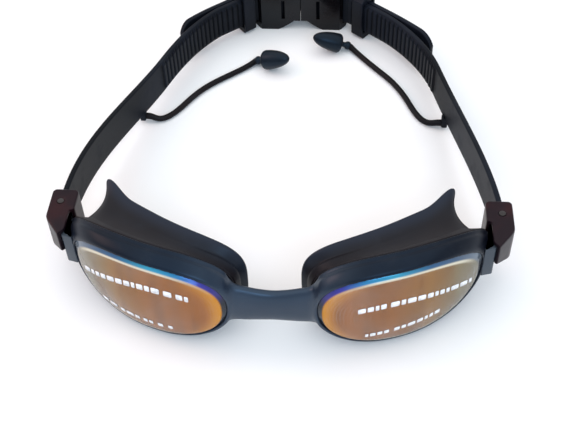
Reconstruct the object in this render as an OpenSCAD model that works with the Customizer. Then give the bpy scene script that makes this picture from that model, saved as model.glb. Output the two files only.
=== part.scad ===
// Swim goggles with curved lenses, a soft frame with a moulded nose bridge, flared gaskets,
// side clips, two ribbed half-straps with ear-plug cords, and a rear clasp.
// They stand as worn: the lenses face -Y, the strap's clasp is at +Y, and z = 0 is the surface
// under the frame's lower rim and the clasp.

/* [Lenses] */
// Lens width across its edge, in plan
lens_w = 56.6; // [52:0.2:62]
// Lens height across its edge
lens_h = 35.2; // [30:0.2:40]
// Lens thickness
lens_t = 2; // [1.4:0.1:2.6]
// Gap between the two lenses' inner ends
nose_gap = 30.8; // [26:0.2:36]
// Radius of the wrap that the lens edges follow round the face
wrap_r = 70; // [62:1:90]
// How far the lens bulges in front of its edge
lens_bulge = 3.2; // [2:0.1:5]
// Thickness of the protective film on each lens
film_t = 0.12; // [0.08:0.01:0.2]
// Height of the lens's side arm
arm_h = 14; // [10:0.5:16]
// Thickness of the lens's side arm
arm_t = 1.6; // [1.2:0.1:2]

/* [Frame] */
// How far the frame's ridge stands out from the lens edge
rim_out = 2.9; // [2:0.1:4]
// Depth of the frame from the lens edge to the gasket
rim_depth = 8; // [6:0.2:10]
// Width of the ledge that the lens sits on
ledge_w = 1.5; // [1:0.1:2.5]
// Height of the nose bridge at its middle
bridge_h = 14.5; // [10:0.5:16]
// Thickness of the nose bridge, front to back
bridge_t = 5.6; // [4:0.2:7]

/* [Gaskets] */
// Thickness of the gasket's skirt
skirt_t = 1.4; // [1:0.1:2]
// Depth of the skirt at the nose, behind the frame
skirt_nose = 6.8; // [4:0.2:10]
// Depth of the skirt at the temple, behind the frame
skirt_temple = 15; // [10:0.5:20]
// How far the temple wing stands past the skirt's edge
wing = 5.5; // [2:0.5:7]
// Width of the sealing lip that turns in at the skirt's edge
lip_w = 3; // [2:0.2:4.5]

/* [Side clips] */
// Wall of a side clip above and below the strap's end
clip_cap = 1.5; // [1.25:0.25:3.5]
// Wall of a side clip outside the strap's end
clip_wall = 1.4; // [1:0.1:2]
// Radius of the pin that the strap turns on
pin_r = 1.2; // [1:0.1:1.5]
// Distance from the middle of the goggles to each pin
pin_x = 79; // [78.8:0.1:80.2]

/* [Straps] */
// Width of the strap
strap_w = 15; // [12:0.5:16]
// Thickness of the strap between its ribs
strap_t = 2; // [1.6:0.1:2.4]
// Height of a rib
rib_h = 0.8; // [0.4:0.1:1]
// Distance from rib to rib
rib_pitch = 2.8; // [2.4:0.1:3.6]
// Length of the left strap's loose tail past its keeper
left_tail = 20; // [10:1:30]
// Length of the right strap's loose tail past its keeper
right_tail = 29; // [10:1:30]

/* [Rear clasp] */
// Height of the clasp's two lobes
clasp_h = 22; // [19:0.5:26]
// Width of one clasp half
clasp_w = 22; // [20:0.5:26]
// Height of the clasp's waist, where the halves meet
waist_h = 12; // [9:0.5:14]
// Radius of the bar that the strap folds round
bar_r = 1.3; // [1:0.1:1.8]
// Length of the tongue that joins the halves
tongue_l = 6; // [4:0.5:8]
// Length of a keeper along the strap
keeper_l = 6; // [4:0.5:8]
// Wall of a keeper
keeper_wall = 1.3; // [1:0.1:1.8]

/* [Ear plugs] */
// Diameter of the ear-plug cord
cord_d = 2.5; // [1.8:0.1:3]
// Largest radius of an ear plug
plug_r = 4.4; // [3:0.2:5]
// Length of an ear plug's head
plug_l = 13; // [8:0.5:14]

/* [Hidden] */

// Facets round an eye, and round a bore or pin
EYE_N = 40;
ROUND_FN = 48;

// The eyes' places
lens_a = lens_w / 2;
lens_b = lens_h / 2;
eye_x = nose_gap / 2 + lens_a;
eye_z = lens_b + rim_out;
front_y = -94.9;
wrap_x = 20;

// The strap's height falls from the pins to the clasp
pin_y = -55.4;
pin_z = 21;
back_z = clasp_h / 2;
fall_end_y = 36.6;

// Clearances
run_gap = 0.05;
slide_gap = 0.35;
part_gap = 0.3;

// Colours
DARK = [0.07, 0.08, 0.11];
CLIP = [0.12, 0.09, 0.09];
AMBER = [0.78, 0.52, 0.3, 0.7];
FILM = [0.9, 0.95, 1, 0.3];
PIN = [0.3, 0.3, 0.32];

// ---- helpers ----

function mix(a, b, t) = a + (b - a) * t;
function ease(t) = let (c = min(1, max(0, t))) c * c * (3 - 2 * c);
function unit(v) = v / norm(v);
function signed_power(v, e) = sign(v) * pow(abs(v), e);

// Faces of a tube of rings, each of m points; closed joins its last ring to its first
function tube_faces(count, m, closed) = concat(
    [for (i = [0 : count - (closed ? 1 : 2)]) for (j = [0 : m - 1])
        [i * m + j, i * m + (j + 1) % m, ((i + 1) % count) * m + (j + 1) % m]],
    [for (i = [0 : count - (closed ? 1 : 2)]) for (j = [0 : m - 1])
        [i * m + j, ((i + 1) % count) * m + (j + 1) % m, ((i + 1) % count) * m + j]],
    closed ? [] : [
        [for (j = [m - 1 : -1 : 0]) j],
        [for (j = [0 : m - 1]) (count - 1) * m + j]
    ]
);

// A solid from rings; flip turns its faces over, for rings that run the other way
module tube(rings, closed = false, flip = false) {
    points = [for (ring = rings) for (p = ring) p];
    faces = tube_faces(len(rings), len(rings[0]), closed);
    polyhedron(points, flip ? [for (f = faces) [for (k = [len(f) - 1 : -1 : 0]) f[k]]] : faces, convexity = 8);
}

// The right side is drawn, and the left side is its mirror image
module left() {
    mirror([1, 0, 0]) children();
}

// Prism of a plan outline between two heights
module prism(outline, low, high) {
    translate([0, 0, low]) linear_extrude(height = high - low) polygon(outline);
}

// ---- the eyes: rings that follow the wrap ----

// Depth of the lens edge at a distance from the middle
function wrap_y(x) = let (d = max(0, x - wrap_x)) front_y + wrap_r - sqrt(wrap_r * wrap_r - d * d);

// Place across an eye at an angle, on a rounded rectangle of two half-sizes
function eye_xz(a, b, angle) = [
    eye_x + a * signed_power(cos(angle), 0.84),
    eye_z + b * signed_power(sin(angle), 0.84)
];

// Point of an eye's ring: out from the lens edge, and back from the wrap
function rim_point(out, back, angle) = let (
    q = eye_xz(lens_a + out, lens_b + out, angle)
) [q[0], wrap_y(q[0]) + back, q[1]];

function eye_angle(i) = 360 * i / EYE_N;

// ---- lenses and films ----

// Point of the lens's curved face, at a share of the way from its middle to its edge
function lens_point(share, back, angle) = let (
    q = eye_xz(lens_a * share, lens_b * share, angle)
) [q[0], wrap_y(q[0]) - lens_bulge * (1 - share * share) + back, q[1]];

// Closed shell between two depths behind the lens's face, out to the lens edge or to the film's
module lens_shell(near, far, to_film = false) {
    inner_shares = [0.03, 0.25, 0.5, 0.74, 1 - ledge_w / lens_a];
    shares = to_film ? inner_shares : concat(inner_shares, [1]);
    count = len(shares);
    near_rings = [for (k = [0 : count - 1]) [for (i = [0 : EYE_N - 1]) lens_point(shares[k], near, eye_angle(i))]];
    far_rings = [for (k = [count - 1 : -1 : 0]) [for (i = [0 : EYE_N - 1]) lens_point(shares[k], far, eye_angle(i))]];
    tube(concat(near_rings, far_rings), flip = to_film);
}

// Plan outline of the lens's side arm: it leaves the lens along the wrap, then runs back
arm_x = pin_x - eye_r() - 1.1;
lens_end = eye_x + lens_a;
arm_root = [lens_end - 1.8, wrap_y(lens_end - 1.8) + lens_t / 2 + 0.3];
arm_bend = [arm_x, wrap_y(lens_end + 1) + 1.2];
arm_end = [arm_x, pin_y + 3];

function arm_outline() = let (
    d = unit(arm_bend - arm_root),
    n = [-d[1], d[0]] * arm_t / 2,
    turn = arm_t / 2 * tan((90 - atan2(d[1], d[0])) / 2)
) [
    arm_root - n,
    [arm_x + arm_t / 2, arm_bend[1] - turn],
    [arm_x + arm_t / 2, arm_end[1]],
    [arm_x - arm_t / 2, arm_end[1]],
    [arm_x - arm_t / 2, arm_bend[1] + turn],
    arm_root + n
];

module lens_arm() {
    prism(arm_outline(), pin_z - arm_h / 2, pin_z + arm_h / 2);
}

module lens() {
    color(AMBER) union() {
        lens_shell(0, lens_t);
        lens_arm();
    }
}

module lens_film() {
    color(FILM) lens_shell(0, -film_t, true);
}

// ---- frame: two rims and the bridge, moulded in one ----

// Rim section, as distances out from the lens edge and back from the wrap
function rim_section() = [
    [0, lens_t], [-ledge_w, lens_t], [-ledge_w, rim_depth], [rim_out - 0.4, rim_depth],
    [rim_out, rim_depth * 0.62], [rim_out * 0.5, 0.9], [0, 0.4]
];

module rim() {
    section = rim_section();
    tube([for (i = [0 : EYE_N - 1]) [for (p = section) rim_point(p[0], p[1], eye_angle(i))]], true);
}

// One oval slice of the bridge, at a distance from the middle
module bridge_slice(x) {
    reach = bridge_end();
    height = mix(bridge_h, 20, pow(abs(x) / reach, 1.6));
    low = 1.8 * pow(abs(x) / reach, 2);
    translate([x, front_y + rim_depth - bridge_t / 2 - 0.1, pin_z - 3.4 + low])
        scale([1, bridge_t, height]) rotate([0, 90, 0]) cylinder(h = 0.2, r = 0.5, center = true, $fn = 24);
}

function bridge_end() = nose_gap / 2 + 0.4;

module bridge() {
    steps = 10;
    for (i = [0 : steps - 1])
        hull() {
            bridge_slice(mix(-bridge_end(), bridge_end(), i / steps));
            bridge_slice(mix(-bridge_end(), bridge_end(), (i + 1) / steps));
        }
}

module frame() {
    color(DARK) difference() {
        union() {
            rim();
            left() rim();
            bridge();
        }
        lens_arm();
        left() lens_arm();
    }
}

// ---- gaskets ----

// Plan curve of the skirt's rear edge, deeper towards the temple
function skirt_y(x) = let (t = (x - 9.5) / 54)
    front_y + rim_depth + mix(skirt_nose, skirt_nose + 29, 0.35 * t + 0.65 * t * t)
    + (skirt_temple - 15) * t;

// Share of the wing at an angle round the eye: a rounded horn at the upper temple corner, which
// falls away steeply towards the temple and gently along the brow
function wing_share(angle) = let (d = angle - 45) exp(-pow(abs(d) / (d > 0 ? 13.5 : 12), 2.4));

// Share of the temple side at an angle round the eye
function temple_share(angle) = pow(max(0, cos(angle)), 2);

// The rear edge dips at the temple, below the wing
dip = 4;
function temple_dip(angle) = dip * pow(max(0, cos(angle)), 6);

// Point of the skirt, from its root (t = 0) to its rear edge (t = 1), with an inset
function skirt_point(t, inset, angle) = let (
    side = temple_share(angle),
    root = rim_point(rim_out - 0.5 - inset - 1.6 * side, rim_depth, angle),
    rear_a = lens_a - 1.3 - inset,
    rear_b = lens_b - 0.4 - inset,
    rx = eye_x - 7 + rear_a * signed_power(cos(angle), 0.62),
    rz = eye_z + rear_b * signed_power(sin(angle), 0.62),
    w = wing_share(angle),
    rear = [rx + 3 * w, skirt_y(rx) + wing * w - temple_dip(angle), rz + 2.2 * w]
) mix(root, rear, t) + sin(180 * min(1, t)) * [-4.4 * side, 0, -1.2 * sin(angle)];

// The gasket's section: the foot that is bonded to the frame, then the skirt's outer face,
// its turned-in lip, and its inner face
module gasket() {
    foot = 0.8;
    color(DARK) tube([for (i = [0 : EYE_N - 1]) let (a = eye_angle(i)) [
        rim_point(-ledge_w, rim_depth, a), rim_point(rim_out - 0.4, rim_depth, a),
        rim_point(rim_out - 0.6, rim_depth + foot, a),
        skirt_point(0.12, 0, a), skirt_point(0.35, 0, a), skirt_point(0.7, 0, a), skirt_point(1, 0, a),
        skirt_point(1.04, skirt_t * 0.6, a), skirt_point(1, lip_w, a), skirt_point(0.94, lip_w, a),
        skirt_point(0.9, skirt_t, a), skirt_point(0.5, skirt_t, a), skirt_point(0.15, skirt_t, a),
        rim_point(-ledge_w + 0.2, rim_depth + foot, a)
    ]], true, true);
}

// ---- side clips and their pins ----

// Outer radius of the strap's eye round the pin
function eye_r() = pin_r + 1.2;

// Space that the strap's eye turns in
cavity_in = pin_x - eye_r() - 0.15;
cavity_out = pin_x + eye_r() + 0.2;
clip_out = cavity_out + clip_wall;
clip_front = wrap_y(lens_end) + 0.6;
clip_h = strap_w + 2 * clip_cap;
clip_back = pin_y + 6;

module side_clip() {
    inner = arm_x - arm_t / 2 - clip_wall;
    rim_side = max(arm_x - 0.9, lens_end + rim_out + 0.1);
    wall_front = clip_front + 12;
    outline = [
        [rim_side, clip_front + 2.6], [arm_x + 1.6, clip_front],
        [clip_out - 1, clip_front + 6.6], [clip_out, clip_front + 8.6],
        [clip_out, clip_back - 1], [clip_out - 1, clip_back],
        [inner + 1, clip_back], [inner, clip_back - 1],
        [inner, wall_front], [rim_side, wall_front]
    ];
    color(CLIP) difference() {
        prism(outline, pin_z - clip_h / 2, pin_z + clip_h / 2);
        lens_arm();
        // Room for the strap's end, flared so that it swings outwards
        prism([
            [cavity_in, pin_y - eye_r() - 0.2], [cavity_out, pin_y - eye_r() - 0.2],
            [cavity_out, pin_y + 0.5], [clip_out + 2.4, clip_back + 1],
            [cavity_in, clip_back + 1]
        ], pin_z - strap_w / 2 - 0.25, pin_z + strap_w / 2 + 0.25);
        // Its underside rises towards the front
        translate([arm_x - 6, 0, 0]) rotate([90, 0, 90]) linear_extrude(height = 20) polygon([
            [clip_front - 1, -1], [pin_y - eye_r() - 1, -1], [pin_y - eye_r() - 1, pin_z - clip_h / 2],
            [clip_front - 1, pin_z + arm_h / 2 - 7]
        ]);
        translate([pin_x, pin_y, 0]) cylinder(h = 60, r = pin_r, $fn = ROUND_FN);
    }
}

module hinge_pin() {
    color(PIN) translate([pin_x, pin_y, pin_z - clip_h / 2])
        cylinder(h = clip_h, r = pin_r, $fn = ROUND_FN);
}

// ---- straps: one band each, from the pin to the clasp, round its bar and back as a tail ----

// Plan points that both straps pass, as on the right side
line_start = [36.5, 75.6];
line_end = [23, 86.6];
line_dir = unit(line_end - line_start);
line_side = [-line_dir[1], line_dir[0]] * -1;
bar_x = 9.5;
bar_y = 91.3;
fold_r = bar_r + 0.15 + strap_t / 2;
tail_gap = strap_t + 0.5;

function bezier(a, b, c, d, t) = let (s = 1 - t)
    s * s * s * a + 3 * s * s * t * b + 3 * s * t * t * c + t * t * t * d;

// Plan points of each stretch, as lists
function curve_points(a, b, c, d, n, last = 0) = [for (i = [0 : n - 1 + last]) bezier(a, b, c, d, i / n)];
function line_points(a, b, n) = [for (i = [0 : n - 1]) mix(a, b, i / n)];

rib_count = round(46 / rib_pitch);
line_ribs = floor(norm(line_end - line_start) / rib_pitch);
tail_start = line_end + line_side * tail_gap;
tail_line_end = line_start + line_side * tail_gap;

// Each soft strap lies in its own bow between the pin and its straight stretch: the points that
// steer its plain stretch, the point where its ribs start, and the points that steer its ribs
left_bow = [[pin_x - 0.2, -22.4], [69.3, 4.6], [58, 36], [52.8, 51.5], [46.8, 65]];
right_bow = [[pin_x - 0.2, -40], [67.6, 10], [61, 36.8], [57, 52.9], [46.5, 67.4]];

function strap_plan(tail, bow) = concat(
    curve_points([pin_x, pin_y + 1], bow[0], bow[1], bow[2], 14),
    curve_points(bow[2], bow[3], bow[4], line_start, rib_count * 3),
    line_points(line_start, line_end, line_ribs * 3),
    curve_points(line_end, line_end + line_dir * 4, [bar_x + 6, bar_y - fold_r], [bar_x, bar_y - fold_r], 5),
    [for (a = [0 : 30 : 150]) [bar_x, bar_y] + fold_r * [-sin(a), -cos(a)]],
    curve_points([bar_x, bar_y + fold_r], [bar_x + 5, bar_y + fold_r], tail_start + line_dir * 5, tail_start, 5),
    line_points(tail_start, tail_line_end, line_ribs * 3),
    curve_points(tail_line_end, tail_line_end - line_dir * tail * 0.35,
        tail_line_end - line_dir * tail * 0.68 - line_side * 0.6,
        tail_line_end - line_dir * tail - line_side * 2.2, 10, 1)
);

// Boss under the strap where its ear-plug cord starts
boss_face = 62.8;
boss_y = 20.2;

// Rib height at a station: ribs are two stations high in every three
first_rib = 14;
last_rib = first_rib + (rib_count + line_ribs) * 3;
tail_rib = last_rib + 16;
tail_rib_end = tail_rib + line_ribs * 3;
function rib_at(i) = ((i >= first_rib && i < last_rib) || (i >= tail_rib && i < tail_rib_end))
    && (i - first_rib) % 3 > 0 ? rib_h : 0;

// Height of the strap's middle along its plan
function strap_z(y) = mix(pin_z, back_z, ease((y - pin_y - 6) / (fall_end_y - pin_y)));

// Share of the strap's width at a station: the tail's tip is rounded
function tip_share(i, count) = let (k = max(0, i - (count - 4)) / 3.3) sqrt(1 - k * k);

// Eight-point section across the strap at a station, with its inner face ribbed
function strap_ring(p, d, z, rib, width) = let (
    n = [d[1], -d[0]],
    inner = -strap_t / 2 - rib,
    outer = strap_t / 2,
    h = strap_w / 2 * width,
    c = 0.4
) [for (q = [
    [inner + c, -h], [outer - c, -h], [outer, -h + c], [outer, h - c],
    [outer - c, h], [inner + c, h], [inner, h - c], [inner, -h + c]
]) [p[0] + n[0] * q[0], p[1] + n[1] * q[0], z + q[1]]];

module band(tail, bow) {
    plan = strap_plan(tail, bow);
    count = len(plan);
    tube([for (i = [0 : count - 1]) let (
        d = unit(plan[min(i + 1, count - 1)] - plan[max(i - 1, 0)])
    ) strap_ring(
        plan[i], d, i < tail_rib - 8 ? strap_z(plan[i][1]) : back_z, rib_at(i), tip_share(i, count)
    )]);
}

module strap(tail, bow) {
    color(DARK) difference() {
        union() {
            band(tail, bow);
            translate([pin_x, pin_y, pin_z - strap_w / 2]) cylinder(h = strap_w, r = eye_r(), $fn = ROUND_FN);
            // Boss that the ear-plug cord leaves
            translate([boss_face, boss_y - 1.9, 1.3]) cube([2.6, 3.8, 4.8]);
        }
        translate([pin_x, pin_y, 0]) cylinder(h = 60, r = pin_r + run_gap, $fn = ROUND_FN);
    }
}

// ---- keepers ----

// Each keeper's place along the strap's straight stretch
left_keeper_share = 0.84;
right_keeper_share = 0.62;
band_depth = tail_gap + strap_t + 2 * rib_h;

module keeper(share) {
    at = mix(line_start, line_end, share) + line_side * tail_gap / 2;
    half_d = band_depth / 2 + slide_gap + keeper_wall;
    half_h = strap_w / 2 + slide_gap + keeper_wall;
    tip = 1.7;
    color(CLIP) translate([at[0], at[1], back_z])
        rotate([0, 0, atan2(line_dir[1], line_dir[0])]) rotate([90, 0, 90])
            translate([0, 0, -keeper_l / 2]) linear_extrude(height = keeper_l) difference() {
                polygon([
                    [-half_d, -half_h], [-half_d + tip, -half_h - tip], [half_d - tip, -half_h - tip],
                    [half_d, -half_h], [half_d, half_h], [half_d - tip, half_h + tip],
                    [-half_d + tip, half_h + tip], [-half_d, half_h]
                ]);
                square([band_depth + 2 * slide_gap, strap_w + 2 * slide_gap], center = true);
            }
}

// ---- rear clasp ----

clasp_front = bar_y - fold_r - strap_t / 2 - rib_h - 1.6;
clasp_back = bar_y + fold_r + strap_t / 2 + rib_h + 1.2;
tongue_t = 2.6;
tongue_h = waist_h - 5;

// A clasp half seen from the front: a lobe that narrows to the waist
function lobe() = let (m = clasp_h / 2, w = waist_h / 2) [
    [part_gap / 2, m - w], [3, m - w], [6, m - w - 2.4], [8.5, 1], [10.5, 0], [clasp_w - 3, 0],
    [clasp_w - 0.9, 0.9], [clasp_w, 3], [clasp_w, clasp_h - 3], [clasp_w - 0.9, clasp_h - 0.9],
    [clasp_w - 3, clasp_h], [10.5, clasp_h], [8.5, clasp_h - 1], [6, m + w + 2.4], [3, m + w],
    [part_gap / 2, m + w]
];

module clasp_half() {
    channel_w = strap_w + 2 * slide_gap;
    difference() {
        translate([0, clasp_back, 0]) rotate([90, 0, 0])
            linear_extrude(height = clasp_back - clasp_front) polygon(lobe());
        // Channel for the strap, open at the half's outer end
        translate([bar_x - fold_r - strap_t / 2 - rib_h - 0.3, clasp_front + 1.3, (clasp_h - channel_w) / 2])
            cube([clasp_w, clasp_back - clasp_front - 2.2, channel_w]);
        // The outer end slants with the strap
        prism([
            [clasp_w - 5, clasp_front - 1], [clasp_w + 1, clasp_front - 1],
            [clasp_w + 1, clasp_front + 4.2]
        ], -1, clasp_h + 1);
        // Slit where the folded strap shows from the front
        translate([bar_x - 2.2, clasp_front - 1, back_z - 5]) cube([1.6, 3, 10]);
    }
    translate([bar_x, bar_y, 1]) cylinder(h = clasp_h - 2, r = bar_r, $fn = ROUND_FN);
}

module tongue(grow) {
    translate([-tongue_l, bar_y - tongue_t / 2 - grow, back_z - tongue_h / 2 - grow])
        cube([tongue_l + 1.5, tongue_t + 2 * grow, tongue_h + 2 * grow]);
}

module clasp_tongue() {
    color(CLIP) {
        clasp_half();
        tongue(0);
    }
}

module clasp_socket() {
    color(CLIP) difference() {
        left() clasp_half();
        translate([-0.8, 0, 0]) tongue(0.4);
    }
}

// ---- ear plugs and their cords ----

// A plug's shoulder, its widest place, rests just clear of the surface, and its knob end is lower
plug_z = 2.1;
plug_shoulder = 5.8;
plug_tilt = atan2(plug_r + 0.2 - plug_z, plug_shoulder);

// Route of each cord's middle, from the boss under the strap to its plug
left_route = [
    [-boss_face, boss_y, 2.8], [-60.6, boss_y, 2.8], [-57.6, 19.6, 1.5], [-54, 21.2, 1.4], [-50, 25.6, 1.4],
    [-45.5, 33.6, 1.4], [-40.5, 40.6, 1.4], [-34.5, 46.2, 1.4], [-28, 51.4, 1.4], [-22.5, 56, 1.4], [-18.6, 59.6, plug_z]
];
right_route = [
    [boss_face, boss_y, 2.8], [60.4, boss_y, 2.8], [57.4, 21, 1.5], [54, 24, 1.4], [51, 30, 1.4], [48.5, 36.6, 1.4],
    [45, 43.6, 1.4], [41, 49.6, 1.4], [36.2, 55.2, 1.4], [31.4, 61, 1.4], [26.6, 67.2, 1.4], [23.2, 71.2, plug_z]
];
left_plug_dir = unit([0.9, -0.42]);
right_plug_dir = unit([-0.98, -0.18]);

// Points between the route's own, on a smooth curve through them
function smooth_point(r, i, t) = let (
    a = r[max(i - 1, 0)], b = r[i], c = r[i + 1], d = r[min(i + 2, len(r) - 1)]
) 0.5 * (2 * b + (c - a) * t + (2 * a - 5 * b + 4 * c - d) * t * t + (3 * b - a - 3 * c + d) * t * t * t);
function smooth(r) = concat([for (i = [0 : len(r) - 2]) for (t = [0, 0.5]) smooth_point(r, i, t)], [r[len(r) - 1]]);

// The cord meets the boss and the plug's knob face to face
module cord(route, plug_dir) {
    points = smooth(route);
    count = len(points);
    color(DARK) tube([for (i = [0 : count - 1]) let (
        d = i == 0 ? unit(route[1] - route[0])
            : i == count - 1 ? [plug_dir[0] * cos(plug_tilt), plug_dir[1] * cos(plug_tilt), sin(plug_tilt)]
            : unit(points[i + 1] - points[i - 1]),
        side = unit(cross(d, [0, 0, 1])),
        up = cross(side, d)
    ) [for (a = [0 : 45 : 315]) points[i] + cord_d / 2 * (cos(a) * side + sin(a) * up)]]);
}

// A knob, a thin stem and a rounded cone, along +X
module plug(end, dir) {
    color(DARK) translate(end) rotate([0, -plug_tilt, atan2(dir[1], dir[0])]) rotate([0, 90, 0])
        rotate_extrude($fn = ROUND_FN) polygon(concat(
            [[0, 0], [1.5, 0], [1.8, 0.6], [1.8, 1.6], [1.3, 2.2], [1.2, plug_shoulder - 1.4],
                [plug_r * 0.8, plug_shoulder - 1], [plug_r, plug_shoulder]],
            [for (t = [0.15 : 0.17 : 1]) [
                plug_r * cos(90 * t) * (1 - 0.12 * t), plug_shoulder + (plug_l - 1) * sin(90 * t)
            ]],
            [[0, plug_shoulder - 1 + plug_l]]
        ));
}

// ---- the assembly ----

frame();
left() lens();  // left_lens
lens();  // right_lens
left() lens_film();  // left_lens_film
lens_film();  // right_lens_film
left() gasket();  // left_gasket
gasket();  // right_gasket
left() side_clip();  // left_side_clip
side_clip();  // right_side_clip
left() hinge_pin();  // left_hinge_pin
hinge_pin();  // right_hinge_pin
left() strap(left_tail, left_bow);  // left_strap
strap(right_tail, right_bow);  // right_strap
left() keeper(left_keeper_share);  // left_keeper
keeper(right_keeper_share);  // right_keeper
clasp_socket();  // left_clasp_socket
clasp_tongue();  // right_clasp_tongue
cord(left_route, left_plug_dir);  // left_earplug_cord
cord(right_route, right_plug_dir);  // right_earplug_cord
plug(left_route[len(left_route) - 1], left_plug_dir);  // left_earplug
plug(right_route[len(right_route) - 1], right_plug_dir);  // right_earplug
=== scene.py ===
"""Looks of the swim goggles: moulded silicone, ribbed straps, tinted lenses and films over the CAD frame.

Shapes are worked out in millimetres as whole numpy arrays and put into meshes in metres, each
with its place in its mesh. The right side is worked out, and the left side is its mirror image.
Angles run round an eye from the temple (0) over the brow (a quarter turn) to the nose (half a turn).
"""

import bmesh
import bpy
import numpy as np
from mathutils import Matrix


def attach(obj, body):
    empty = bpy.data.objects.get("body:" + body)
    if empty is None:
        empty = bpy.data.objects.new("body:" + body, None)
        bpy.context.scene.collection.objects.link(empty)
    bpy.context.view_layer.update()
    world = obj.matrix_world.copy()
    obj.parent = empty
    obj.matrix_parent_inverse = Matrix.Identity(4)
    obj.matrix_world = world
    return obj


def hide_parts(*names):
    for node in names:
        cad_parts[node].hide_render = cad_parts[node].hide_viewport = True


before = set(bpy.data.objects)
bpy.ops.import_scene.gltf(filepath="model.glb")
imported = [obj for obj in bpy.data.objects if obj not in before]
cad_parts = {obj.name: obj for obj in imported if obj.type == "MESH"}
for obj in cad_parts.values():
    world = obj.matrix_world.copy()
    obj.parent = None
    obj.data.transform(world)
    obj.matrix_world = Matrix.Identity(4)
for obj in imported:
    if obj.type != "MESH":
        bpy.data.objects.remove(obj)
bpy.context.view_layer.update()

MM = 0.001
SCENE = bpy.context.scene
RIGHT = np.array([1.0, 1.0, 1.0])
LEFT = np.array([-1.0, 1.0, 1.0])

# ---- camera ----

IMAGE_WIDTH = 577
FOCAL_LENGTH = 1018.0  # in the same unit as the image's width
CAMERA_ELEVATION = 0.8377580
CAMERA_YAW = 0.0875102
CAMERA_ROLL = -0.0360756
CAMERA_DISTANCE = 380.0
CAMERA_TARGET = np.array([2.6, -46.45, 15.0])


def make_camera():
    """A camera that looks at the target from a distance, elevation and yaw, rolled about its own axis."""
    data = bpy.data.cameras.new("camera")
    data.sensor_width = 36.0
    data.sensor_fit = "HORIZONTAL"
    data.lens = data.sensor_width * FOCAL_LENGTH / IMAGE_WIDTH
    data.clip_start = 0.01
    data.clip_end = 20.0
    e, yaw, roll = CAMERA_ELEVATION, CAMERA_YAW, CAMERA_ROLL
    back = np.array([np.sin(yaw) * np.cos(e), -np.cos(yaw) * np.cos(e), np.sin(e)])
    across = np.cross(-back, [0, 0, 1])
    across /= np.linalg.norm(across)
    up = np.cross(across, -back)
    right = np.cos(roll) * across + np.sin(roll) * up
    top = -np.sin(roll) * across + np.cos(roll) * up
    place = (CAMERA_TARGET + back * CAMERA_DISTANCE) * MM
    camera = bpy.data.objects.new("camera", data)
    SCENE.collection.objects.link(camera)
    matrix = np.eye(4)
    matrix[:3, 0], matrix[:3, 1], matrix[:3, 2], matrix[:3, 3] = right, top, back, place
    camera.matrix_world = matrix.T.tolist()
    SCENE.camera = camera


make_camera()

# ---- mesh making ----


def smooth_step(t):
    """Rises from 0 to 1 with level ends."""
    t = np.clip(t, 0.0, 1.0)
    return t * t * (3 - 2 * t)


def signed_power(v, e):
    return np.sign(v) * np.abs(v) ** e


def unit(v):
    return v / np.linalg.norm(v, axis=-1, keepdims=True)


def grid_faces(count, m, closed):
    """Quads between round rings of m points; the last ring joins the first if closed."""
    i = np.arange(count if closed else count - 1)[:, None]
    j = np.arange(m)[None, :]
    k, n = (i + 1) % count, (j + 1) % m
    return np.stack([i * m + j, i * m + n, k * m + n, k * m + j], -1).reshape(-1, 4)


def new_object(name, points, faces, marks=None, uv=None, tidy=True):
    """A smooth-shaded object from points in mm; marks are named values at the points, uv two of them."""
    mesh = bpy.data.meshes.new(name)
    mesh.from_pydata((points.reshape(-1, 3) * MM).tolist(), [], [list(f) for f in faces])
    for mark, values in (marks or {}).items():
        layer = mesh.attributes.new(mark, "FLOAT", "POINT")
        layer.data.foreach_set("value", np.ascontiguousarray(values, np.float32).ravel())
    if uv is not None:
        corners = np.zeros(len(mesh.loops), np.int32)
        mesh.loops.foreach_get("vertex_index", corners)
        layer = mesh.uv_layers.new(name="along")
        flat = np.stack([uv[0].ravel(), uv[1].ravel()], -1)[corners]
        layer.data.foreach_set("uv", flat.astype(np.float32).ravel())
    if tidy:
        close_seams(mesh)
    mesh.shade_smooth()
    obj = bpy.data.objects.new(name, mesh)
    SCENE.collection.objects.link(obj)
    return obj


def close_seams(mesh):
    """Joins points that coincide at poles and seams, and turns every face outwards."""
    bm = bmesh.new()
    bm.from_mesh(mesh)
    bmesh.ops.remove_doubles(bm, verts=bm.verts, dist=1e-6)
    bmesh.ops.recalc_face_normals(bm, faces=bm.faces)
    bm.to_mesh(mesh)
    bm.free()


def skin(name, rings, closed=False, caps=True, marks=None, uv=None):
    """A closed surface through rings of points (rings, points, 3)."""
    count, m = rings.shape[:2]
    faces = grid_faces(count, m, closed).tolist()
    if caps and not closed:
        faces += [list(range(m)), list(range((count - 1) * m, count * m))]
    return new_object(name, rings, faces, marks, uv)


def fit_out(obj, material, body, slot, *nodes):
    """Gives a piece its finish and the body that it rides on, and hides the CAD nodes that it stands for; slot is not
    used.
    """
    if material:
        obj.data.materials.clear()
        obj.data.materials.append(material)
    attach(obj, body)
    if nodes:
        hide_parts(*nodes)
    return obj


def filleted(points, radii, steps=5):
    """A closed outline whose corners become parabolas between two points near each."""
    p = np.asarray(points, float)
    before, after = np.roll(p, 1, 0), np.roll(p, -1, 0)
    reach_in = np.minimum(radii, 0.48 * np.linalg.norm(p - before, axis=1))[:, None]
    reach_out = np.minimum(radii, 0.48 * np.linalg.norm(after - p, axis=1))[:, None]
    a = p + unit(before - p) * reach_in
    b = p + unit(after - p) * reach_out
    t = np.linspace(0, 1, steps)[None, :, None]
    curve = (1 - t) ** 2 * a[:, None] + 2 * t * (1 - t) * p[:, None] + t * t * b[:, None]
    return curve.reshape(-1, 2)


def divided(outline, longest):
    """A closed outline with its long sides divided into parts no longer than longest."""
    parts = []
    for a, b in zip(outline, np.roll(outline, -1, 0)):
        n = max(1, int(np.ceil(np.linalg.norm(b - a) / longest)))
        parts.append(a + (b - a) * np.arange(n)[:, None] / n)
    return np.concatenate(parts)


# ---- the eyes' shape, as in the CAD ----

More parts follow.
